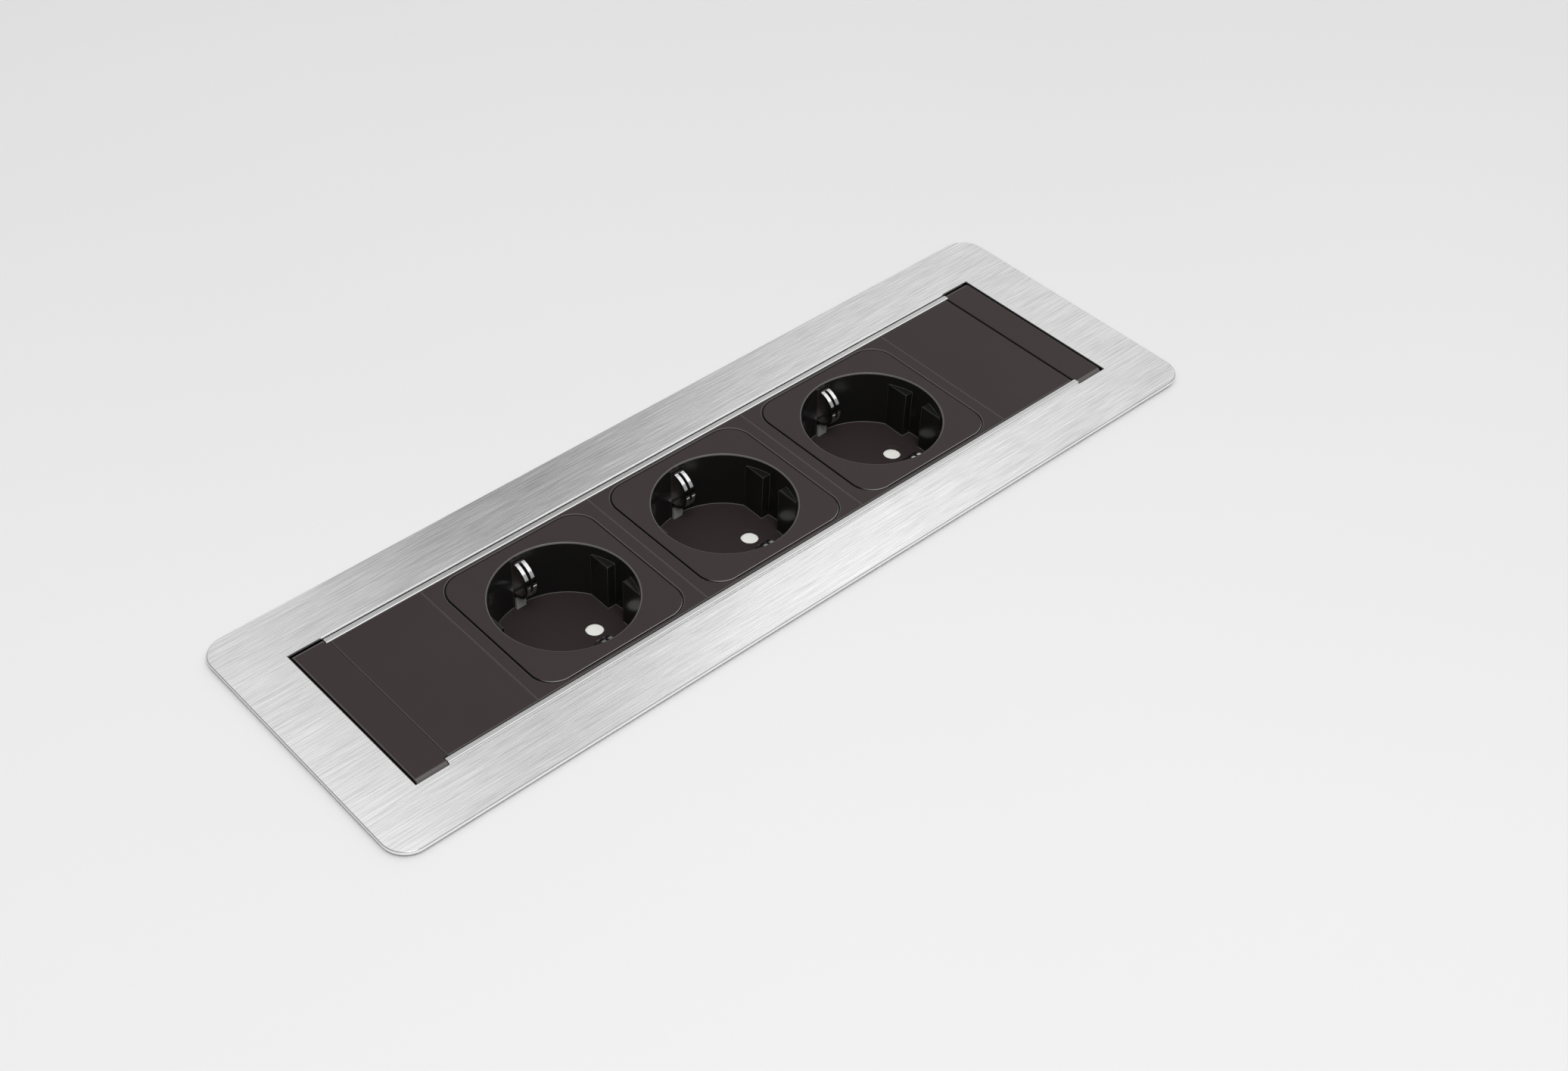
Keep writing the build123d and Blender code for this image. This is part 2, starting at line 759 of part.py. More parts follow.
def make_cap_screws():
    screws = []
    for side in (-1, 1):
        for y, z in cap_screw_centres():
            seat = side * (unit_half_length - cap_screw_head_height - screw_gap)
            shank = tube_x(cap_screw_radius, side * (cap_inner_x - cap_screw_reach), seat)
            head = tube_x(cap_screw_head_radius, seat, seat + side * cap_screw_head_height)
            screws.append(UNIT * Pos(0, y, z) * (shank + head))
    return group(screws)


def make_underside_cover():
    """The brushed sheet that closes the worktop when the unit is turned over."""
    half_x = row_half - left_cap_seam
    sheet = block((-half_x, -insert_width / 2, -face_z), (half_x, insert_width / 2, cover_thickness - face_z))
    rims = sheet.edges().group_by(Axis.Z)[0]
    return UNIT * fillet(rims, insert_edge_round)


# Plates and socket inserts


def face_plate(length):
    """A flat plate, flush with the rails, with slightly rounded rims."""
    half_x = length / 2 - insert_seam / 2
    plate = block((-half_x, -insert_width / 2, face_z - insert_thickness), (half_x, insert_width / 2, face_z))
    return fillet(plate.edges().group_by(Axis.Z)[-1], insert_edge_round)


def snap_legs(spacing):
    """Four legs whose barbs hook under the ledges of the rails."""
    legs = Part()
    leg_y = ledge_inner_y - leg_ledge_gap
    hook_depth = insert_thickness + ledge_thickness + screw_gap
    for sx in (-1, 1):
        for sy in (-1, 1):
            section = Polyline(
                (leg_y - leg_thickness, below(insert_thickness)),
                (leg_y, below(insert_thickness)),
                (leg_y, below(hook_depth)),
                (leg_y + leg_barb_reach, below(hook_depth)),
                (leg_y, below(hook_depth + leg_barb_height)),
                (leg_y - leg_thickness, below(hook_depth + leg_barb_height)),
                close=True)
            leg = along_x(make_face(section), -leg_width / 2, leg_width / 2)
            leg = Pos(sx * spacing / 2, 0, 0) * leg
            legs += leg if sy > 0 else mirror(leg, Plane.XZ)
    return legs


def post_places(length):
    """The posts near the corners of a plate of this length."""
    return [(sx * (length / 2 - post_x_inset), sy * post_y) for sx in (-1, 1) for sy in (-1, 1)]


def posts(length, end_depth):
    """Screw posts that reach down from a plate."""
    result = Part()
    for x, y in post_places(length):
        post = tube_z(post_radius, below(end_depth), below(insert_thickness - overrun))
        hole_top = below(end_depth - post_screw_reach - screw_gap)
        post -= tube_z(post_screw_radius + thread_gap, below(end_depth + overrun), hole_top)
        result += Pos(x, y, 0) * post
    return result


def make_blank_plate(side):
    """The bare plate at one end of the row."""
    plate = face_plate(blank_length) + snap_legs(blank_leg_spacing)
    if side > 0:
        plate += posts(blank_length, terminal_top_depth)
    return UNIT * Pos(side * terminal_x, 0, 0) * plate


def plug_guides():
    """Two chord-shaped shoulders in the well, each with a notch in the middle."""
    guides = Part()
    low, high = below(well_depth + well_floor / 2), below(guide_top_depth)
    ring = tube_z(well_radius + well_wall / 2, low, high)
    for side in (-1, 1):
        x_levels = sorted((side * guide_distance, side * (cup_radius + overrun)))
        for y_side in (-1, 1):
            y_levels = sorted((y_side * guide_notch_width / 2, y_side * cup_radius))
            half = ring & block((x_levels[0], y_levels[0], low - overrun), (x_levels[1], y_levels[1], high))
            rim = half.faces().sort_by(Axis.Z)[-1].edges().filter_by(GeomType.LINE)
            guides += fillet(rim, guide_edge_round)
    return guides


def clip_recesses():
    """The slots in the well's wall and floor that take the earth clip."""
    cut = Part()
    inner_y = clip_wall_distance - clip_thickness / 2 - clip_gap
    outer_y = clip_wall_distance + clip_thickness / 2 + clip_recess_back
    half_wall, half_floor = clip_recess_width / 2, clip_width / 2 + clip_gap
    for side in (-1, 1):
        ys = sorted((side * (inner_y - overrun), side * outer_y))
        cut += block((-half_wall, ys[0], below(well_depth)), (half_wall, ys[1], below(clip_recess_top_depth)))
        ys = sorted((side * inner_y, side * outer_y))
        cut += block((-half_floor, ys[0], below(floor_under_depth + overrun)),
                     (half_floor, ys[1], below(well_depth - overrun)))
    return cut


def pin_holes():
    """Two round holes in the well's floor, with a small lead-in."""
    cut = Part()
    for side in (-1, 1):
        hole = tube_z(pin_hole_radius, below(floor_under_depth + overrun), below(well_depth - overrun))
        lead = Pos(0, 0, below(well_depth)) * Cone(
            pin_hole_radius, pin_hole_radius + pin_hole_lead, pin_hole_lead,
            align=(Align.CENTER, Align.CENTER, Align.MAX))
        cut += Pos(side * pin_spacing / 2, 0, 0) * (hole + lead)
    return cut


def make_socket_insert(place):
    """A plate with the socket well, its guides and the post of the shutter."""
    plate = face_plate(socket_pitch)
    cup = tube_z(cup_radius, below(floor_under_depth), below(insert_thickness / 2))
    well = tube_z(well_radius, below(well_depth), face_z + overrun)
    body = plate + cup - well
    rim = body.edges().filter_by(GeomType.CIRCLE).filter_by(
        lambda e: abs(e.radius - well_radius) < well_rim_round and e.center().Z > face_z - well_rim_round)
    body = fillet(rim, well_rim_round)
    groove = RectangleRounded(field_size, field_size, field_corner_radius)
    island = field_size - 2 * field_groove_width
    groove -= RectangleRounded(island, island, field_corner_radius - field_groove_width)
    body -= extrude(Plane.XY.offset(face_z - field_groove_depth) * groove, field_groove_depth + overrun)
    reach = field_size / 2 + field_groove_chamfer
    rims = [e for e in body.edges() if abs(e.center().Z - face_z) < field_groove_chamfer / 2
            and max(abs(e.center().X), abs(e.center().Y)) < reach
            and hypot(e.center().X, e.center().Y) > cup_radius]
    body = chamfer(rims, field_groove_chamfer)
    body += plug_guides()
    body -= clip_recesses()
    body -= pin_holes()
    body += tube_z(shutter_post_radius, below(carrier_top_depth - shutter_gap), below(well_depth + well_floor / 2))
    stop_mid = polar(spring_circle(), shutter_stop_angle + shutter_stop_width)
    stop = Box(shutter_stop_width, 2 * shutter_stop_width, shutter_thickness + well_floor / 2,
               align=(Align.CENTER, Align.CENTER, Align.MAX))
    body += Pos(stop_mid[0] - shutter_stop_width / 2, stop_mid[1], below(well_depth + well_floor / 2)) * stop
    body += snap_legs(leg_spacing)
    body += posts(socket_pitch, carrier_top_depth)
    return UNIT * Pos(place, 0, 0) * body


# Earth clips, shutters, carriers and conductors


def clip_arm_section():
    """The arm on the +Y side: a round bow into the well and a leg down through the floor."""
    half = clip_thickness / 2
    bow_centre = (clip_wall_distance - clip_bow_reach + clip_bow_radius, below(clip_bow_depth))
    bow = Circle(clip_bow_radius + half) - Circle(clip_bow_radius - half)
    inward = Rectangle(2 * clip_wall_distance, unit_height)
    bow = (Pos(*bow_centre) * bow) & inward
    leg_top, leg_end = below(clip_bow_depth + clip_bow_radius - half), below(clip_base_depth + half)
    leg = Rectangle(clip_thickness, leg_top - leg_end)
    return bow + Pos(clip_wall_distance, (leg_top + leg_end) / 2) * leg


def make_earth_clip(place):
    """One strap: down one wall of the well, under the floor and up the other wall."""
    arm = clip_arm_section()
    base = Pos(0, below(clip_base_depth)) * Rectangle(2 * clip_wall_distance + clip_thickness, clip_thickness)
    section = arm + mirror(arm, Plane.YZ) + base
    strap = extrude(Plane.YZ * section, clip_width / 2, both=True)
    half, slot_y = clip_slot_width / 2, clip_wall_distance - clip_bridge
    strap -= block((-half, -slot_y, below(clip_slot_end_depth)), (half, slot_y, face_z))
    tips = strap.edges().filter_by(Axis.Y) + strap.edges().filter_by(Axis.Z)
    top_z = strap.bounding_box().max.Z - clip_thickness
    corners = [e for e in tips if e.center().Z > top_z and abs(e.center().X) > clip_slot_width]
    return UNIT * Pos(place, 0, 0) * fillet(corners, clip_corner_radius)


def spring_circle():
    """The circle on which the shutter's spring pushes."""
    return (shutter_inner_radius + shutter_outer_radius) / 2


def make_shutter(place):
    """A two-winged rotor on the post under the socket's floor."""
    wings = Sketch()
    reach = 2 * shutter_outer_radius
    spread = reach * sin(radians(shutter_half_angle)) / cos(radians(shutter_half_angle))
    ring = Circle(shutter_outer_radius) - Circle(shutter_inner_radius)
    for side in (-1, 1):
        wedge = Polyline((0, 0), (side * reach, -spread), (side * reach, spread), close=True)
        wings += ring & make_face(wedge)
    wings += Rectangle(2 * shutter_inner_radius + shutter_arm_width, shutter_arm_width)
    wings += Circle(shutter_hub_radius)
    wings -= Circle(shutter_post_radius + shutter_post_gap)
    level = below(shutter_top_depth + shutter_thickness)
    return UNIT * Pos(place, 0, level) * extrude(wings, shutter_thickness)


def make_shutter_spring(place):
    """The return spring between the wing and the stop, as the plain tube that its coils fill."""
    start_angle = shutter_half_angle
    start = Vector(*polar(spring_circle(), start_angle))
    end = Vector(*polar(spring_circle(), shutter_stop_angle))
    line = end - start
    clear = line.normalized() * shutter_spring_clearance * 2
    length = line.length - 2 * clear.length
    level = below(shutter_top_depth + shutter_thickness / 2)
    section = Circle(shutter_spring_radius) - Circle(shutter_spring_radius / 2)
    plane = Plane(origin=(start.X + clear.X, start.Y + clear.Y, level), z_dir=(line.X, line.Y, 0))
    return UNIT * Pos(place, 0, 0) * extrude(plane * section, length)


def sleeve_places():
    """Every pin sleeve: place along X and the side of its socket."""
    return [(place + side * pin_spacing / 2, side) for place in socket_places for side in (-1, 1)]


def carrier_cuts():
    """Grooves and pockets, in one carrier, for the sleeves, bars and the clip's base."""
    top = below(carrier_top_depth - overrun)
    cut = Part()
    pocket_low = below(sleeve_top_depth + sleeve_length + sleeve_pocket_gap)
    for side in (-1, 1):
        pocket = tube_z(sleeve_radius + sleeve_pocket_gap, pocket_low, top)
        cut += Pos(side * pin_spacing / 2, 0, 0) * pocket
        y = side * bar_offset
        half = bar_thickness / 2 + bar_groove_gap
        bar_low = below(sleeve_top_depth + bar_height + bar_groove_gap)
        cut += block((-socket_pitch, y - half, bar_low), (socket_pitch, y + half, top))
        tab_half = bar_thickness / 2 + bar_groove_gap
        ys = sorted((0, y))
        x = -side * pin_spacing / 2
        cut += block((x - tab_half, ys[0], bar_low), (x + tab_half, ys[1], top))
    clip_half = clip_width / 2 + clip_gap
    clip_low = below(clip_base_depth + clip_thickness / 2)
    cut += block((-clip_half, -carrier_width, clip_low), (clip_half, carrier_width, top))
    earth_half = earth_bar_width / 2 + bar_groove_gap
    earth_low = clip_low - bar_thickness
    cut += block((-socket_pitch, earth_bar_offset - earth_half, earth_low),
                 (socket_pitch, earth_bar_offset + earth_half, top))
    return cut


def make_contact_carrier(place):
    """The moulding that holds the sleeves and bars under one insert."""
    top, bottom = below(carrier_top_depth), below(carrier_bottom_depth)
    body = block((-carrier_length / 2, -carrier_width / 2, bottom), (carrier_length / 2, carrier_width / 2, top))
    lug_low = top - carrier_lug_thickness
    for x, y in post_places(socket_pitch):
        inner_x, inner_y = x - carrier_lug_size / 2, y - carrier_lug_size / 2
        ring = tube_z(post_radius, lug_low, top)
        body -= block((inner_x, inner_y, bottom - overrun),
                      (inner_x + carrier_lug_size, inner_y + carrier_lug_size, lug_low))
        body += Pos(x, y, 0) * ring
    for x, y in post_places(socket_pitch):
        hole = tube_z(post_screw_radius + screw_hole_gap, lug_low - overrun, top + overrun)
        body -= Pos(x, y, 0) * hole
    return UNIT * Pos(place, 0, 0) * (body - carrier_cuts())


def make_carrier_screws():
    """The screws that hold the carriers to the posts of the inserts."""
    screws = []
    lug_low = below(carrier_top_depth + carrier_lug_thickness)
    tip = below(carrier_top_depth - post_screw_reach)
    screw = tube_z(post_screw_radius, lug_low, tip)
    screw += tube_z(post_screw_head_radius, lug_low - post_screw_head_height, lug_low)
    for place in socket_places:
        for x, y in post_places(socket_pitch):
            screws.append(UNIT * Pos(place + x, y, 0) * screw)
    return group(screws)


def make_power_bar(side):
    """A brass bar with one split sleeve for each socket."""
    y = side * bar_offset
    top = below(sleeve_top_depth)
    low = top - bar_height
    own = [x for x, pin_side in sleeve_places() if pin_side == -side]
    start = min(own) - sleeve_radius
    end = terminal_x - terminal_length / 2 + terminal_slot_depth - bar_groove_gap
    bar = block((start, y - bar_thickness / 2, low), (end, y + bar_thickness / 2, top))
    for x in own:
        ys = sorted((0, y))
        bar += block((x - bar_thickness / 2, ys[0], low), (x + bar_thickness / 2, ys[1], top))
    for x in own:
        bar += Pos(x, 0, 0) * tube_z(sleeve_radius, top - sleeve_length, top)
    for x in own:
        bar -= Pos(x, 0, 0) * tube_z(sleeve_bore_radius, top - sleeve_length - overrun, top + overrun)
        ys = sorted((-side * sleeve_bore_radius / 2, -side * (sleeve_radius + overrun)))
        bar -= block((x - sleeve_slot / 2, ys[0], top - sleeve_length - overrun),
                     (x + sleeve_slot / 2, ys[1], top + overrun))
    return UNIT * bar


def make_earth_bar():
    """The strip that joins the three earth clips and the terminal block."""
    high = below(clip_base_depth + clip_thickness / 2)
    start = min(socket_places) - earth_bar_width
    end = terminal_x - terminal_length / 2 + terminal_slot_depth - bar_groove_gap
    return UNIT * block((start, earth_bar_offset - earth_bar_width / 2, high - bar_thickness),
                        (end, earth_bar_offset + earth_bar_width / 2, high))


def terminal_poles():
    """Where the three poles lie across the strip."""
    return (-bar_offset, bar_offset, earth_bar_offset)


def make_terminal_block():
    """The three-pole block that takes the supply lead's wires."""
    top = below(terminal_top_depth)
    low = top - terminal_height
    x_low, x_high = terminal_x - terminal_length / 2, terminal_x + terminal_length / 2
    poles = terminal_poles()
    body = block((x_low, min(poles) - terminal_side_margin, low), (x_high, max(poles) + terminal_side_margin, top))
    for x, y in post_places(blank_length):
        body += Pos(terminal_x + x, y, 0) * tube_z(post_radius, top - carrier_lug_thickness, top)
    arm_half = post_radius / 2
    for y_side in (-1, 1):
        xs = blank_length / 2 - post_x_inset
        body += block((terminal_x - xs, y_side * post_y - arm_half, top - carrier_lug_thickness),
                      (terminal_x + xs, y_side * post_y + arm_half, top))
        ys = sorted((0, y_side * post_y))
        body += block((terminal_x - arm_half, ys[0], top - carrier_lug_thickness),
                      (terminal_x + arm_half, ys[1], top))
    for x, y in post_places(blank_length):
        hole = tube_z(post_screw_radius + screw_hole_gap, low, top + overrun)
        body -= Pos(terminal_x + x, y, 0) * hole
    half = bar_thickness / 2 + bar_groove_gap
    bar_top = below(sleeve_top_depth)
    for y in poles[:2]:
        body -= block((x_low - overrun, y - half, bar_top - bar_height - bar_groove_gap),
                      (x_low + terminal_slot_depth, y + half, bar_top + bar_groove_gap))
    earth_top = below(clip_base_depth + clip_thickness / 2)
    earth_half = earth_bar_width / 2 + bar_groove_gap
    body -= block((x_low - overrun, poles[2] - earth_half, earth_top - bar_thickness - bar_groove_gap),
                  (x_low + terminal_slot_depth, poles[2] + earth_half, earth_top + bar_groove_gap))
    for y in poles:
        wire_z = low + terminal_screw_length + terminal_wire_radius
        wire = tube_x(terminal_wire_radius, terminal_x, x_high + overrun)
        body -= Pos(0, y, wire_z) * wire
        screw_hole = tube_z(terminal_screw_radius + thread_gap, low - overrun, wire_z)
        body -= Pos(terminal_x + terminal_length / 4, y, 0) * screw_hole
    return UNIT * body


def make_terminal_screws():
    """The three clamping screws of the block and the four that hold it up."""
    top = below(terminal_top_depth)
    low = top - terminal_height
    screws = []
    for y in terminal_poles():
        screw = tube_z(terminal_screw_radius, low + thread_gap, low + terminal_screw_length)
        slot_half = sleeve_slot / 2
        screw -= block((-slot_half, -terminal_screw_radius, low), (slot_half, terminal_screw_radius, low + sleeve_slot))
        screws.append(UNIT * Pos(terminal_x + terminal_length / 4, y, 0) * screw)
    lug_low = top - carrier_lug_thickness
    screw = tube_z(post_screw_radius, lug_low, top + post_screw_reach)
    screw += tube_z(post_screw_head_radius, lug_low - post_screw_head_height, lug_low)
    for x, y in post_places(blank_length):
        screws.append(UNIT * Pos(terminal_x + x, y, 0) * screw)
    return group(screws)


nodes = {
    "cover_frame": make_cover_frame(),
    "frame_seal": make_seal(),
    "frame_studs": make_frame_studs(),
    "frame_nuts": make_frame_nuts(),
    "housing_trough": make_housing_trough(),
    "housing_end_left": make_housing_end_left(),
    "housing_end_right": make_housing_end_right(),
    "housing_screws": make_housing_screws(),
    "grip_rivets": make_grip_rivets(),
    "pivot_bush_left": make_bush(-1, pin_radius),
    "pivot_bush_right": make_bush(1, trunnion_radius),
    "detent_spring": make_detent_spring(),
    "cable_inlet": make_cable_inlet(),
    "side_rail_front": make_rail(-1),
    "side_rail_back": make_rail(1),
    "end_cap_left": make_end_cap_left(),
    "end_cap_right": make_end_cap_right(),
    "cap_screws": make_cap_screws(),
    "underside_cover": make_underside_cover(),
    "blank_plate_left": make_blank_plate(-1),
    "blank_plate_right": make_blank_plate(1),
    "pivot_pin": make_pivot_pin(),
    "cable_trunnion": make_cable_trunnion(),
    "detent_cam": make_detent_cam(),
    "live_bar": make_power_bar(1),
    "neutral_bar": make_power_bar(-1),
    "earth_bar": make_earth_bar(),
    "carrier_screws": make_carrier_screws(),
    "terminal_block": make_terminal_block(),
    "terminal_screws": make_terminal_screws(),
}
for (grip_x, grip_side), grip_name in zip(grip_places(), ("front_left", "front_right", "back_left", "back_right")):
    nodes["grip_spring_" + grip_name] = make_grip_spring(grip_x, grip_side)
for number, place in enumerate(socket_places, 1):
    nodes[f"socket_insert_{number}"] = make_socket_insert(place)
    nodes[f"earth_clip_{number}"] = make_earth_clip(place)
    nodes[f"shutter_{number}"] = make_shutter(place)
    nodes[f"shutter_spring_{number}"] = make_shutter_spring(place)
    nodes[f"contact_carrier_{number}"] = make_contact_carrier(place)

os.makedirs("parts", exist_ok=True)
for name, shape in nodes.items():
    shape.label = name
    export_step(shape, f"parts/{name}.step")
print(len(nodes), "nodes written")
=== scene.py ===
import bpy
import json
import math
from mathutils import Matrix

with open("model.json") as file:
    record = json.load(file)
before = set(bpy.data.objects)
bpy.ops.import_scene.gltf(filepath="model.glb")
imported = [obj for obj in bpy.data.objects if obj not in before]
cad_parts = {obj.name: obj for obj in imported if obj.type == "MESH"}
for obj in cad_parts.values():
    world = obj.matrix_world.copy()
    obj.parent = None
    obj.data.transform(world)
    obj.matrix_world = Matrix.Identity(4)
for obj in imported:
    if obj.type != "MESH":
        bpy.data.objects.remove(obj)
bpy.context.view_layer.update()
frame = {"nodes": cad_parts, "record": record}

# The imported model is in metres, with X along the strip and the worktop's surface at Z = 0
MM = 0.001

# Places on the part that its finishes follow
FACE_TOP = 2.0 * MM
WELL_RADIUS = 19.4 * MM
WELL_FLOOR = -16.0 * MM
CLIP_MATT = -12.0 * MM  # an earth clip is dull below this height
RAIL_END = 109.0 * MM  # from the middle, where the bare rails end and the caps begin
OUTER_BORDER = (130.0 * MM, 38.0 * MM)  # past these an edge of the cover frame is its outer edge

# The square groove round a well: half the width over it, its corner and its own width
FIELD_HALF = 23.6 * MM
FIELD_CORNER = 7.2 * MM
GROOVE_WIDTH = 0.56 * MM

# Bands measured outwards from the groove's outer edge: from, to and the width of the soft ends
GROOVE_BAND = (-GROOVE_WIDTH, -0.02 * MM, 0.02 * MM)
OUTER_RIM_BAND = (0.02 * MM, 0.14 * MM, 0.03 * MM)
INNER_RIM_BAND = (-0.52 * MM, -0.42 * MM, 0.02 * MM)
FRONT_RUN = (-22.0 * MM, -19.0 * MM)  # Y over which the inner rim fades out from the front

# How far a surface is from upright, as the size of the Z of its normal
ROUNDED = (0.25, 0.93, 0.05)
UPRIGHT = (0.05, 0.20)

# The mix node's sockets, whose names are the same for each kind of value
COLOUR_A, COLOUR_B, COLOUR_RESULT = 6, 7, 2
NUMBER_A, NUMBER_B, NUMBER_RESULT = 2, 3, 0


# Small helpers for node materials


def grey(value):
    return (value, value, value, 1.0)


def shade(colour, gain=1.0, lift=0.0):
    """A colour made lighter or darker, up to white, with its alpha."""
    return tuple(min(c * gain + lift, 1.0) for c in colour) + (1.0,)


class Nodes:
    """A node tree of a material or world, with short calls for the nodes used here."""

    def __init__(self, owner):
        owner.use_nodes = True
        self.tree = owner.node_tree
        self.coords = self.tree.nodes.new("ShaderNodeTexCoord")

    def node(self, kind, **settings):
        new = self.tree.nodes.new(kind)
        for key, value in settings.items():
            setattr(new, key, value)
        return new

    def link(self, source, target):
        self.tree.links.new(source, target)

    def put(self, target, value):
        """A number or colour is set on the socket, and a socket is linked to it."""
        if isinstance(value, bpy.types.NodeSocket):
            self.link(value, target)
        else:
            target.default_value = value

    def split(self, vector):
        parts = self.node("ShaderNodeSeparateXYZ")
        self.link(vector, parts.inputs["Vector"])
        return parts.outputs["X"], parts.outputs["Y"], parts.outputs["Z"]

    def stretched(self, periods):
        """Object coordinates with a scale for each axis, in periods per metre."""
        mapping = self.node("ShaderNodeMapping")
        self.link(self.coords.outputs["Object"], mapping.inputs["Vector"])
        mapping.inputs["Scale"].default_value = periods
        return mapping.outputs["Vector"]

    def noise(self, vector, scale=1.0, detail=2.0, roughness=0.5):
        texture = self.node("ShaderNodeTexNoise")
        self.link(vector, texture.inputs["Vector"])
        texture.inputs["Scale"].default_value = scale
        texture.inputs["Detail"].default_value = detail
        texture.inputs["Roughness"].default_value = roughness
        return texture.outputs["Fac"]

    def curve(self, value, stops):
        """A colour ramp through (place, colour) stops."""
        ramp = self.node("ShaderNodeValToRGB")
        self.put(ramp.inputs["Fac"], value)
        elements = ramp.color_ramp.elements
        while len(elements) < len(stops):
            elements.new(0.5)
        for element, (place, colour) in zip(elements, stops):
            element.position = place
            element.color = colour
        return ramp.outputs["Color"]

    def ramp(self, value, low, high, at=(0.3, 0.7)):
        """A colour ramp between two colours."""
        return self.curve(value, [(at[0], low), (at[1], high)])

    def remap(self, value, low, high, at=(0.3, 0.7)):
        """A number that goes from low to high as the value crosses a range, and then stays."""
        mapped = self.node("ShaderNodeMapRange")
        self.put(mapped.inputs["Value"], value)
        mapped.inputs["From Min"].default_value = at[0]
        mapped.inputs["From Max"].default_value = at[1]
        mapped.inputs["To Min"].default_value = low
        mapped.inputs["To Max"].default_value = high
        return mapped.outputs["Result"]

    def band(self, value, low, high, soft):
        """1 between two values, 0 outside, with soft ends."""
        rise = self.remap(value, 0.0, 1.0, at=(low - soft, low))
        fall = self.remap(value, 1.0, 0.0, at=(high, high + soft))
        return self.times(rise, fall)

    def calculate(self, operation, a, b=0.0):
        node = self.node("ShaderNodeMath", operation=operation)
        self.put(node.inputs[0], a)
        self.put(node.inputs[1], b)
        return node.outputs[0]

    def times(self, a, b):
        return self.calculate("MULTIPLY", a, b)

    def larger(self, a, b):
        return self.calculate("MAXIMUM", a, b)

    def size(self, value):
        """The value without its sign."""
        return self.calculate("ABSOLUTE", value)

    def beyond(self, value, reach):
        """How far a coordinate lies outside a distance from zero, on either side."""
        return self.calculate("SUBTRACT", self.size(value), reach)

    def length(self, a, b):
        """The length of a vector with two legs."""
        squares = self.calculate("ADD", self.times(a, a), self.times(b, b))
        return self.calculate("SQRT", squares)

    def mix(self, factor, a, b, blend="MIX"):
        node = self.node("ShaderNodeMix", data_type="RGBA", blend_type=blend)
        self.put(node.inputs["Factor"], factor)
        self.put(node.inputs[COLOUR_A], a)
        self.put(node.inputs[COLOUR_B], b)
        return node.outputs[COLOUR_RESULT]

    def mix_number(self, factor, a, b):
        node = self.node("ShaderNodeMix", data_type="FLOAT")
        self.put(node.inputs["Factor"], factor)
        self.put(node.inputs[NUMBER_A], a)
        self.put(node.inputs[NUMBER_B], b)
        return node.outputs[NUMBER_RESULT]


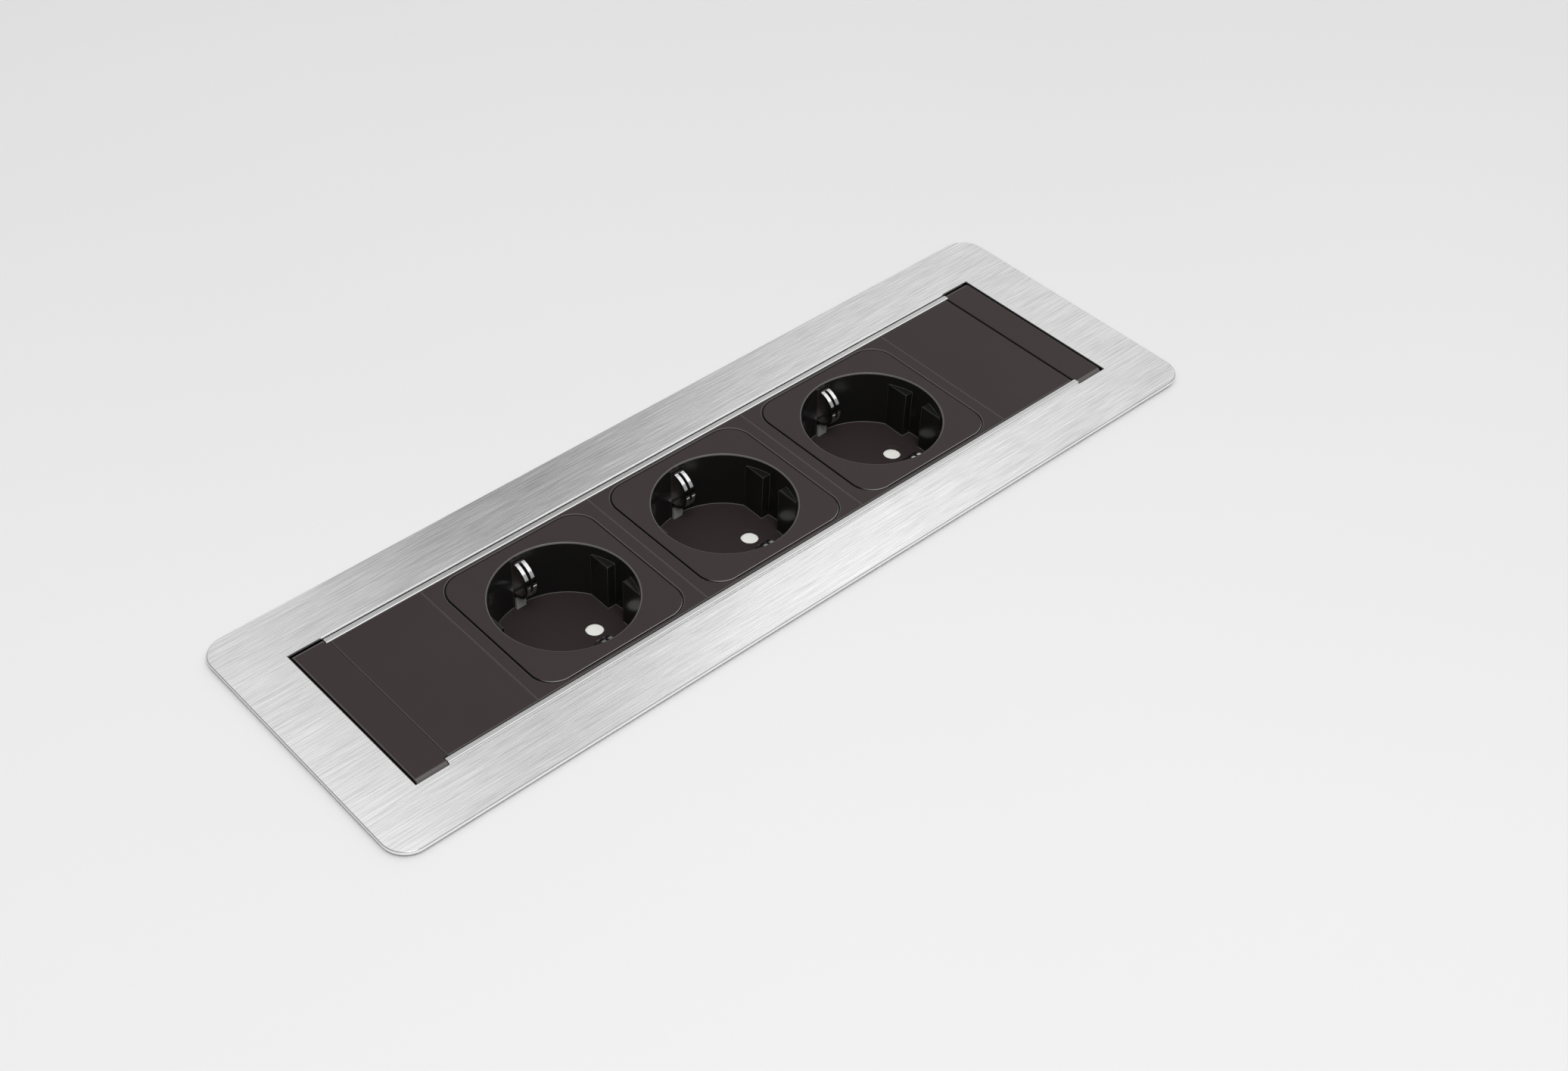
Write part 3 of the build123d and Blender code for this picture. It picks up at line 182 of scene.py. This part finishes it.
class Surface(Nodes):
    """A material with a Principled shader."""

    SOCKETS = {
        "color": "Base Color", "metallic": "Metallic", "roughness": "Roughness",
        "specular": "Specular IOR Level", "anisotropic": "Anisotropic", "tangent": "Tangent",
        "normal": "Normal",
    }

    def __init__(self, name):
        self.material = bpy.data.materials.new(name)
        super().__init__(self.material)
        self.shader = self.tree.nodes["Principled BSDF"]

    def set(self, **values):
        for key, value in values.items():
            self.put(self.shader.inputs[self.SOCKETS[key]], value)

    def bump(self, height, distance, strength):
        node = self.node("ShaderNodeBump")
        self.put(node.inputs["Height"], height)
        node.inputs["Distance"].default_value = distance
        node.inputs["Strength"].default_value = strength
        return node.outputs["Normal"]

    def near_edge(self, width):
        """How close the surface is to an edge: 0 on a flat face, 1 on the edge itself."""
        bevel = self.node("ShaderNodeBevel", samples=4)
        bevel.inputs["Radius"].default_value = width
        geometry = self.node("ShaderNodeNewGeometry")
        product = self.node("ShaderNodeVectorMath", operation="DOT_PRODUCT")
        self.link(bevel.outputs["Normal"], product.inputs[0])
        self.link(geometry.outputs["Normal"], product.inputs[1])
        return self.remap(product.outputs["Value"], 1.0, 0.0, at=(0.8, 0.999))

    def levelness(self):
        """1 on a face that lies flat, 0 on an upright one."""
        return self.size(self.split(self.coords.outputs["Normal"])[2])

    def rounding(self):
        """1 on the rounded or chamfered rims of an upper or lower face, 0 on flat faces."""
        return self.band(self.levelness(), *ROUNDED)

    def outer_edge(self):
        """1 on the cover frame's outer edge, 0 on the edge of its opening."""
        x, y, _ = self.split(self.coords.outputs["Object"])
        outside = self.larger(self.beyond(x, OUTER_BORDER[0]), self.beyond(y, OUTER_BORDER[1]))
        return self.remap(outside, 0.0, 1.0, at=(0.0, 0.5 * MM))

    def groove(self, x, y, height):
        """The square groove in an insert's upper face, from coordinates about the well: 1 in
        the groove, for its painted shade, and 1 on the rims for their painted highlight, the
        outer one and the inner one in front."""
        straight = FIELD_HALF - FIELD_CORNER
        legs = [self.larger(self.beyond(leg, straight), 0.0) for leg in (x, y)]
        outside = self.calculate("SUBTRACT", self.length(*legs), FIELD_CORNER)
        deep = self.band(outside, *GROOVE_BAND)
        outer = self.band(outside, *OUTER_RIM_BAND)
        inner = self.band(outside, *INNER_RIM_BAND)
        inner = self.times(inner, self.remap(y, 1.0, 0.0, at=FRONT_RUN))
        upper = self.remap(height, 0.0, 1.0, at=(1.0 * MM, 1.2 * MM))
        return self.times(deep, upper), self.times(self.larger(outer, inner), upper)

    def across_brush(self):
        """The direction on the surface across scratches that run along X, and how far the
        surface faces away from X: 1 on a face that shows the scratches, 0 on a cut end."""
        geometry = self.node("ShaderNodeNewGeometry")
        cross = self.node("ShaderNodeVectorMath", operation="CROSS_PRODUCT")
        self.link(geometry.outputs["Normal"], cross.inputs[0])
        cross.inputs[1].default_value = (1.0, 0.0, 0.0)
        # A trace of Z keeps the direction from being zero on a cut end
        lifted = self.node("ShaderNodeVectorMath", operation="ADD")
        self.link(cross.outputs["Vector"], lifted.inputs[0])
        lifted.inputs[1].default_value = (0.0, 0.0, 0.001)
        length = self.node("ShaderNodeVectorMath", operation="LENGTH")
        self.link(cross.outputs["Vector"], length.inputs[0])
        return lifted.outputs["Vector"], length.outputs["Value"]


# Metals. Scratches are noise with its periods per metre along X, Y and Z.

FINE_SCRATCHES = (120.0, 8500.0, 8500.0)
BROAD_SCRATCHES = (50.0, 3000.0, 3000.0)
HAIR_SCRATCHES = (100.0, 4500.0, 4500.0)
SHEET_PATCHES = (22.0, 90.0, 90.0)
TURNED_SCRATCHES = (300.0, 300.0, 5200.0)
BRUSH_DEPTH = 0.013 * MM
TURNED_DEPTH = 0.006 * MM
HAIR_TONE = 0.40
CUT_TONE = 0.93
CUT_ROUGHNESS = 0.14
# Painted reflections: tones for the outer rim and for the opening's rim beside the caps, which
# stand in for dark things mirrored in them
PAINTED_OUTER_EDGE_REFLECTION = 0.42
PAINTED_CAP_REFLECTION = 0.22
MATT_TONE = 0.46
MATT_ROUGHNESS = 0.5
MATT_METALLIC = 0.2


def brushed_metal(name, low, high, roughness, relief=1.0):
    """Sheet metal brushed along X: long fine scratches between two tones, which also change
    its gloss and relief, with bright cut edges and rims, and a painted dark reflection on the
    frame's outer rim and on the rim of its opening beside the caps."""
    m = Surface(name)
    tangent, shown = m.across_brush()
    fine = m.noise(m.stretched(FINE_SCRATCHES), detail=3.0, roughness=0.7)
    broad = m.noise(m.stretched(BROAD_SCRATCHES))
    lines = m.calculate("ADD", m.times(fine, 0.5), m.times(broad, 0.5))
    lines = m.mix_number(shown, 0.5, lines)
    colour = m.ramp(lines, grey(low), grey(high), at=(0.34, 0.66))
    hair = m.noise(m.stretched(HAIR_SCRATCHES), detail=1.5)
    hair = m.times(m.remap(hair, 0.0, 0.35, at=(0.56, 0.70)), shown)
    colour = m.mix(hair, colour, grey(HAIR_TONE))
    patches = m.noise(m.stretched(SHEET_PATCHES))
    patches = m.ramp(patches, grey(0.80), grey(1.0), at=(0.35, 0.65))
    colour = m.mix(0.10, colour, patches, blend="MULTIPLY")

    # Painted reflections: the frame's outer rim is painted darker, as a mirrored dark surface,
    # and the rim of its opening is painted dark beside the caps, as their mirrored image
    along = m.size(m.split(m.coords.outputs["Object"])[0])
    beside_caps = m.remap(along, 0.0, 1.0, at=(RAIL_END, RAIL_END + 0.4 * MM))
    lip = m.mix(beside_caps, grey(CUT_TONE), grey(PAINTED_CAP_REFLECTION))
    rim = m.rounding()
    cut = m.times(m.remap(m.levelness(), 1.0, 0.0, at=UPRIGHT), shown)
    colour = m.mix(rim, colour, m.mix(m.outer_edge(), lip, grey(PAINTED_OUTER_EDGE_REFLECTION)))
    colour = m.mix(cut, colour, grey(CUT_TONE))

    gloss = m.remap(lines, roughness * 0.85, roughness * 1.2)
    gloss = m.mix_number(m.larger(rim, cut), gloss, CUT_ROUGHNESS)
    m.set(color=colour, metallic=1.0, roughness=gloss, anisotropic=0.5, tangent=tangent)
    m.set(normal=m.bump(lines, BRUSH_DEPTH * relief, 0.8))
    return m.material


def bright_metal(name, colour, roughness, scratch=0.06, matt_below=None):
    """Plated or turned metal with fine hairline scratches, whose roughness changes by scratch.
    With matt_below it is dull under that height."""
    m = Surface(name)
    coords = m.coords.outputs["Object"]
    hair = m.noise(m.stretched(TURNED_SCRATCHES), detail=3.0, roughness=0.7)
    cloud = m.noise(coords, scale=160.0, detail=3.0)
    tone = m.ramp(cloud, shade(colour, gain=0.86), shade(colour))
    gloss = m.remap(hair, roughness, roughness + scratch)
    metallic = 1.0
    if matt_below is not None:
        height = m.split(coords)[2]
        dull = m.remap(height, 1.0, 0.0, at=(matt_below - 1.0 * MM, matt_below))
        tone = m.mix(dull, tone, grey(MATT_TONE))
        gloss = m.mix_number(dull, gloss, MATT_ROUGHNESS)
        metallic = m.mix_number(dull, metallic, MATT_METALLIC)
    m.set(color=tone, metallic=metallic, roughness=gloss)
    m.set(normal=m.bump(hair, TURNED_DEPTH, 0.6))
    return m.material


# Plastics and foam

CLOUDS = 28.0  # periods per metre of a plastic's broad changes in tone
INSERT_GRAIN = 2900.0  # periods per metre
GRAIN_DEPTH = 0.02 * MM
PLASTIC_SPECULAR = 0.22
ANTHRACITE = (0.0340, 0.0240, 0.0240)
RIM_HIGHLIGHT_LIFT = 0.09  # how much lighter a rim is painted, as a painted highlight
RUBBED_ROUGHNESS = 0.35

INSERT_DARK = (0.0285, 0.0200, 0.0200, 1.0)
INSERT_MID = (0.0325, 0.0230, 0.0230, 1.0)
INSERT_LIGHT = (0.0520, 0.0390, 0.0390, 1.0)
# Painted shade: the well's walls are the insert's plastic, painted far darker as the shade in
# the well
WELL_WALL_SHADE_DARK = (0.0100, 0.0095, 0.0090, 1.0)
WELL_WALL_SHADE_LIGHT = (0.0130, 0.0125, 0.0120, 1.0)
WELL_FLOOR_DARK = (0.0250, 0.0175, 0.0175, 1.0)
WELL_FLOOR_LIGHT = (0.0370, 0.0265, 0.0265, 1.0)
# Painted highlight: the light line round the well's floor, where the wall meets it
FLOOR_JOINT_HIGHLIGHT = (0.24, 0.23, 0.22, 1.0)
FLOOR_JOINT_ROUGHNESS = 0.4
# Painted shade: the groove is painted near black, as the shade in it
GROOVE_SHADE = 0.003
# Painted highlights on the insert's edges and rims, lighter still in the well and on the
# groove's inner rim
EDGE_HIGHLIGHT = (0.12, 0.11, 0.11, 1.0)
GLINT = (0.30, 0.29, 0.28, 1.0)


def grained_plastic(name, colour, roughness, grain=0.35 * MM, shift=0.12):
    """Moulded plastic with a fine even grain, and rounded rims that are a little glossier and
    painted lighter as a highlight. Its tone changes by shift, as a share."""
    m = Surface(name)
    coords = m.coords.outputs["Object"]
    fine = m.noise(coords, scale=1.0 / grain, roughness=0.6)
    cloud = m.noise(coords, scale=CLOUDS, detail=3.0)
    face = m.ramp(cloud, shade(colour, gain=1 - shift), shade(colour))
    face = m.mix(m.remap(fine, 0.0, 0.35), face, shade(colour, gain=1 + 2.2 * shift))
    rim = m.rounding()
    # Painted highlight: the rounded rims are painted lighter
    face = m.mix(m.times(rim, 0.9), face, shade(colour, lift=RIM_HIGHLIGHT_LIFT))
    gloss = m.remap(fine, roughness - 0.05, roughness + 0.08)
    m.set(color=face, specular=PLASTIC_SPECULAR)
    m.set(roughness=m.mix_number(rim, gloss, RUBBED_ROUGHNESS))
    m.set(normal=m.bump(fine, GRAIN_DEPTH, 0.7))
    return m.material


def insert_plastic(name, centre_x):
    """The socket insert: a grained face round a well with polished walls painted dark as shade
    and a matt floor, with painted highlights on its edges and rims and a groove painted dark as
    shade.
    """
    m = Surface(name)
    coords = m.coords.outputs["Object"]
    along, across, height = m.split(coords)
    x = m.calculate("SUBTRACT", along, centre_x)
    radius = m.length(x, across)
    fine = m.noise(coords, scale=INSERT_GRAIN, roughness=0.6)
    cloud = m.noise(coords, scale=CLOUDS, detail=3.0)

    # The face, and in the well the wall, painted dark as shade, the floor and a painted
    # highlight on the joint round the floor
    in_well = m.remap(radius, 1.0, 0.0, at=(WELL_RADIUS + 0.35 * MM, WELL_RADIUS + 0.50 * MM))
    low = m.remap(height, 1.0, 0.0, at=(WELL_FLOOR + 0.05 * MM, WELL_FLOOR + 0.10 * MM))
    # Where the highlight is painted round the well's floor
    joint = m.band(height, WELL_FLOOR + 0.08 * MM, WELL_FLOOR + 0.30 * MM, 0.04 * MM)
    joint = m.times(joint, in_well)
    face = m.mix(m.remap(fine, 0.0, 0.35), m.ramp(cloud, INSERT_DARK, INSERT_MID), INSERT_LIGHT)
    # Painted shade on the well's walls
    wall = m.ramp(cloud, WELL_WALL_SHADE_DARK, WELL_WALL_SHADE_LIGHT)
    floor = m.mix(m.remap(fine, 0.0, 0.5), WELL_FLOOR_DARK, WELL_FLOOR_LIGHT)
    inside = m.mix(joint, m.mix(low, wall, floor), FLOOR_JOINT_HIGHLIGHT)
    colour = m.mix(in_well, face, inside)

    # Painted highlights on the edges, stronger the higher they are, then on the rims of the face
    # and of the well
    highlight_by_height = m.remap(height, 0.10, 0.60, at=(WELL_FLOOR, FACE_TOP))
    edges = m.times(m.near_edge(0.22 * MM), highlight_by_height)
    colour = m.mix(edges, colour, m.mix(in_well, EDGE_HIGHLIGHT, GLINT))
    upper = m.remap(height, 0.0, 1.0, at=(1.4 * MM, 1.6 * MM))
    colour = m.mix(m.times(m.rounding(), upper), colour, EDGE_HIGHLIGHT)
    # Painted highlight on the well's rim
    rim = m.band(radius, WELL_RADIUS + 0.08 * MM, WELL_RADIUS + 0.32 * MM, 0.06 * MM)
    rim = m.times(rim, m.remap(height, 0.0, 0.8, at=(1.4 * MM, 1.7 * MM)))
    colour = m.mix(rim, colour, EDGE_HIGHLIGHT)
    groove, groove_rims = m.groove(x, across, height)
    # Painted shade in the groove, then painted highlights on its rims
    colour = m.mix(groove, colour, grey(GROOVE_SHADE))
    colour = m.mix(groove_rims, colour, m.mix(groove, EDGE_HIGHLIGHT, GLINT))

    gloss = m.mix_number(low, m.remap(cloud, 0.15, 0.18), m.remap(fine, 0.70, 0.85))
    gloss = m.mix_number(joint, gloss, FLOOR_JOINT_ROUGHNESS)
    m.set(color=colour, specular=PLASTIC_SPECULAR)
    m.set(roughness=m.mix_number(in_well, m.remap(fine, 0.42, 0.55), gloss))
    grained = m.larger(m.remap(in_well, 1.0, 0.0, at=(0.0, 1.0)), low)
    m.set(normal=m.bump(m.times(fine, grained), GRAIN_DEPTH, 0.7))
    return m.material


def foam(name):
    """Closed-cell foam: soft black with open pits."""
    m = Surface(name)
    cells = m.node("ShaderNodeTexVoronoi")
    m.link(m.coords.outputs["Object"], cells.inputs["Vector"])
    cells.inputs["Scale"].default_value = 2400.0
    pits = cells.outputs["Distance"]
    m.set(color=m.ramp(pits, grey(0.008), grey(0.03), at=(0.0, 0.6)))
    m.set(roughness=m.remap(pits, 0.95, 0.75, at=(0.0, 0.6)), specular=0.3)
    m.set(normal=m.bump(pits, 0.08 * MM, 0.8))
    return m.material


# The finish of each material slot of the record, and its values. A socket insert has a
# material of its own, because its groove and well lie about its own middle.

FINISHES = {
    "frame_steel": (brushed_metal, dict(low=0.61, high=1.00, roughness=0.18)),
    "cover_steel": (brushed_metal, dict(low=0.60, high=0.98, roughness=0.18)),
    "rail_aluminium": (brushed_metal, dict(low=0.56, high=0.68, roughness=0.25, relief=0.6)),
    "seal_foam": (foam, dict()),
    "zinc_steel": (bright_metal, dict(colour=(0.62, 0.64, 0.66), roughness=0.28)),
    "screw_steel": (bright_metal, dict(colour=(0.60, 0.61, 0.62), roughness=0.30)),
    "rivet_steel": (bright_metal, dict(colour=(0.60, 0.61, 0.62), roughness=0.32)),
    "spring_steel": (bright_metal, dict(colour=(0.50, 0.51, 0.53), roughness=0.26)),
    "pin_steel": (bright_metal, dict(colour=(0.60, 0.61, 0.63), roughness=0.22)),
    "clip_steel": (bright_metal, dict(colour=(0.88, 0.88, 0.89), roughness=0.10, scratch=0.05,
                                      matt_below=CLIP_MATT)),
    "contact_brass": (bright_metal, dict(colour=(0.78, 0.57, 0.26), roughness=0.28)),
    "housing_plastic": (grained_plastic, dict(colour=(0.022, 0.022, 0.024), roughness=0.55,
                                              grain=0.6 * MM)),
    "cap_plastic": (grained_plastic, dict(colour=ANTHRACITE, roughness=0.47)),
    "plate_plastic": (grained_plastic, dict(colour=ANTHRACITE, roughness=0.47)),
    "bush_plastic": (grained_plastic, dict(colour=(0.62, 0.60, 0.54), roughness=0.42)),
    "inlet_rubber": (grained_plastic, dict(colour=(0.016, 0.016, 0.016), roughness=0.62,
                                           grain=0.5 * MM)),
    "trunnion_plastic": (grained_plastic, dict(colour=(0.020, 0.020, 0.020), roughness=0.35)),
    "terminal_plastic": (grained_plastic, dict(colour=(0.66, 0.65, 0.60), roughness=0.45)),
    "shutter_plastic": (grained_plastic, dict(colour=(0.98, 0.98, 0.93), roughness=0.32,
                                              shift=0.01)),
    "carrier_plastic": (grained_plastic, dict(colour=(0.05, 0.05, 0.052), roughness=0.55)),
}

materials = {slot: make(slot, **values) for slot, (make, values) in FINISHES.items()}
slots = {entry["node"]: entry["material_slot"] for entry in frame["record"]["subparts"]}
mounts = {mount["name"]: mount["pos_m"] for mount in frame["record"]["mounts"]}

for name, node in frame["nodes"].items():
    if slots[name] == "insert_plastic":
        well = mounts["socket_" + name.rsplit("_", 1)[1]]
        material = insert_plastic(name + "_plastic", well[0])
    else:
        material = materials[slots[name]]
    node.data.materials.clear()
    node.data.materials.append(material)


# Floor with the cut-out that the strip drops into, which shows from above only

FLOOR_REACH = 4.0
FLOOR_HOLE = (131.2 * MM, 38.7 * MM)  # half its size, under the frame's seal


def rectangle(half_x, half_y):
    return [(-half_x, -half_y), (half_x, -half_y), (half_x, half_y), (-half_x, half_y)]


def make_floor():
    corners = rectangle(FLOOR_REACH, FLOOR_REACH) + rectangle(*FLOOR_HOLE)
    faces = [(i, (i + 1) % 4, (i + 1) % 4 + 4, i + 4) for i in range(4)]
    mesh = bpy.data.meshes.new("floor")
    mesh.from_pydata([(x, y, 0.0) for x, y in corners], [], faces)
    floor = bpy.data.objects.new("floor", mesh)
    bpy.context.scene.collection.objects.link(floor)
    m = Surface("floor_surface")
    cloud = m.noise(m.coords.outputs["Object"], scale=3.0)
    m.set(color=m.ramp(cloud, grey(0.78), grey(0.80)), roughness=0.6, specular=0.3)
    clear = m.node("ShaderNodeBsdfTransparent")
    side = m.node("ShaderNodeNewGeometry")
    blend = m.node("ShaderNodeMixShader")
    output = m.tree.nodes["Material Output"]
    m.link(side.outputs["Backfacing"], blend.inputs["Fac"])
    m.link(m.shader.outputs["BSDF"], blend.inputs[1])
    m.link(clear.outputs["BSDF"], blend.inputs[2])
    m.link(blend.outputs["Shader"], output.inputs["Surface"])
    mesh.materials.append(m.material)


make_floor()


# Camera at the photograph's viewing angle, as fitted to the frame's edges and the well rims

CAMERA_PLACE = (-0.29091, -0.31995, 0.39028 + FACE_TOP)
CAMERA_DOWN = 42.947  # degrees below level
CAMERA_TURN = -40.274  # degrees about Z, from looking along +Y
LENS = 50.71
SENSOR_WIDTH = 36.0
PHOTO_WIDTH = 2072  # pixels
CENTRE_SHIFT = 154.4  # pixels


def make_camera():
    data = bpy.data.cameras.new("photo_camera")
    data.sensor_fit = "HORIZONTAL"
    data.sensor_width = SENSOR_WIDTH
    data.lens = LENS
    data.shift_x = CENTRE_SHIFT / PHOTO_WIDTH
    data.clip_start = 0.01
    data.clip_end = 50.0
    camera = bpy.data.objects.new("photo_camera", data)
    camera.location = CAMERA_PLACE
    camera.rotation_euler = (math.radians(90.0 - CAMERA_DOWN), 0.0, math.radians(CAMERA_TURN))
    bpy.context.scene.collection.objects.link(camera)
    bpy.context.scene.camera = camera


make_camera()


# Light: a soft square lamp high on the front left, and a soft studio round it

LAMP_PLACE = (-0.30, -0.52, 1.15)
LAMP_SIZE = 0.6
LAMP_POWER = 7.2

# Bands of the studio's lift, the angle in degrees from the horizon behind the strip over the
# top: from, to and the width of the soft ends
PANEL_LIFT = (15, 62, 10)
CEILING_LIFT = (87, 116, 15)
STRIP_LIFT = (114, 131, 5)
UPPER_PANEL = (45, 57)  # the lift over which the lower panel changes to the upper one
PANEL_START = (0.05, 0.25)  # X of the direction over which the panels begin
NEAR = (-0.60, 0.60, 0.15)  # X of the direction, for the ceiling and the strip

# Radiance of the panels, of the ceiling and the strip beyond it, and of the walls and backdrop.
# The panels are fitted to the tones along the photograph's frame, by X of the direction.
UPPER_PANEL_LIGHT = [(0.20, 1.76), (0.28, 1.37), (0.34, 0.96), (0.40, 0.81),
                     (0.46, 1.44), (0.52, 1.59), (0.58, 1.15), (0.66, 0.75)]
LOWER_PANEL_LIGHT = [(0.20, 0.68), (0.28, 0.68), (0.34, 0.63), (0.40, 0.19),
                     (0.46, 0.05), (0.52, 0.29), (0.58, 0.63), (0.66, 0.82)]
WALL_LIGHT_BY_HEIGHT = [(0.0, 0.30), (0.5, 0.38), (1.0, 0.60)]
CEILING_LIGHT = 1.05
STRIP_LIGHT = 1.15
BACKDROP = 0.80


def make_lamp():
    """The lamp looks at the origin."""
    data = bpy.data.lights.new("key_panel", "AREA")
    data.shape = "RECTANGLE"
    data.size = LAMP_SIZE
    data.size_y = LAMP_SIZE
    data.energy = LAMP_POWER
    lamp = bpy.data.objects.new("key_panel", data)
    lamp.location = LAMP_PLACE
    bpy.context.scene.collection.objects.link(lamp)
    x, y, z = LAMP_PLACE
    lamp.rotation_euler = (math.atan2(math.hypot(x, y), z), 0.0, math.atan2(y, x) + math.pi / 2)


def make_world():
    """Soft walls and ceiling, with the panels that the bare metal mirrors."""
    world = bpy.data.worlds.new("studio")
    bpy.context.scene.world = world
    w = Nodes(world)
    x, y, z = w.split(w.coords.outputs["Generated"])
    lift = w.calculate("ARCTAN2", z, y)
    near = w.band(x, *NEAR)

    def lights(value, stops):
        return w.curve(value, [(place, grey(light)) for place, light in stops])

    def lift_band(degrees):
        return w.band(lift, *map(math.radians, degrees))

    high = w.remap(lift, 0.0, 1.0, at=tuple(map(math.radians, UPPER_PANEL)))
    panels = w.mix(high, lights(x, LOWER_PANEL_LIGHT), lights(x, UPPER_PANEL_LIGHT))
    reach = w.times(lift_band(PANEL_LIFT), w.remap(x, 0.0, 1.0, at=PANEL_START))
    studio = lights(z, WALL_LIGHT_BY_HEIGHT)
    studio = w.mix(w.times(lift_band(CEILING_LIFT), near), studio, grey(CEILING_LIGHT))
    studio = w.mix(w.times(lift_band(STRIP_LIFT), near), studio, grey(STRIP_LIGHT))
    light = w.mix(reach, studio, panels)
    seen = w.node("ShaderNodeLightPath").outputs["Is Camera Ray"]
    background = w.tree.nodes["Background"]
    w.put(background.inputs["Color"], w.mix(seen, light, grey(BACKDROP)))
    background.inputs["Strength"].default_value = 1.0


make_lamp()
make_world()

bpy.context.scene.view_settings.view_transform = "Standard"
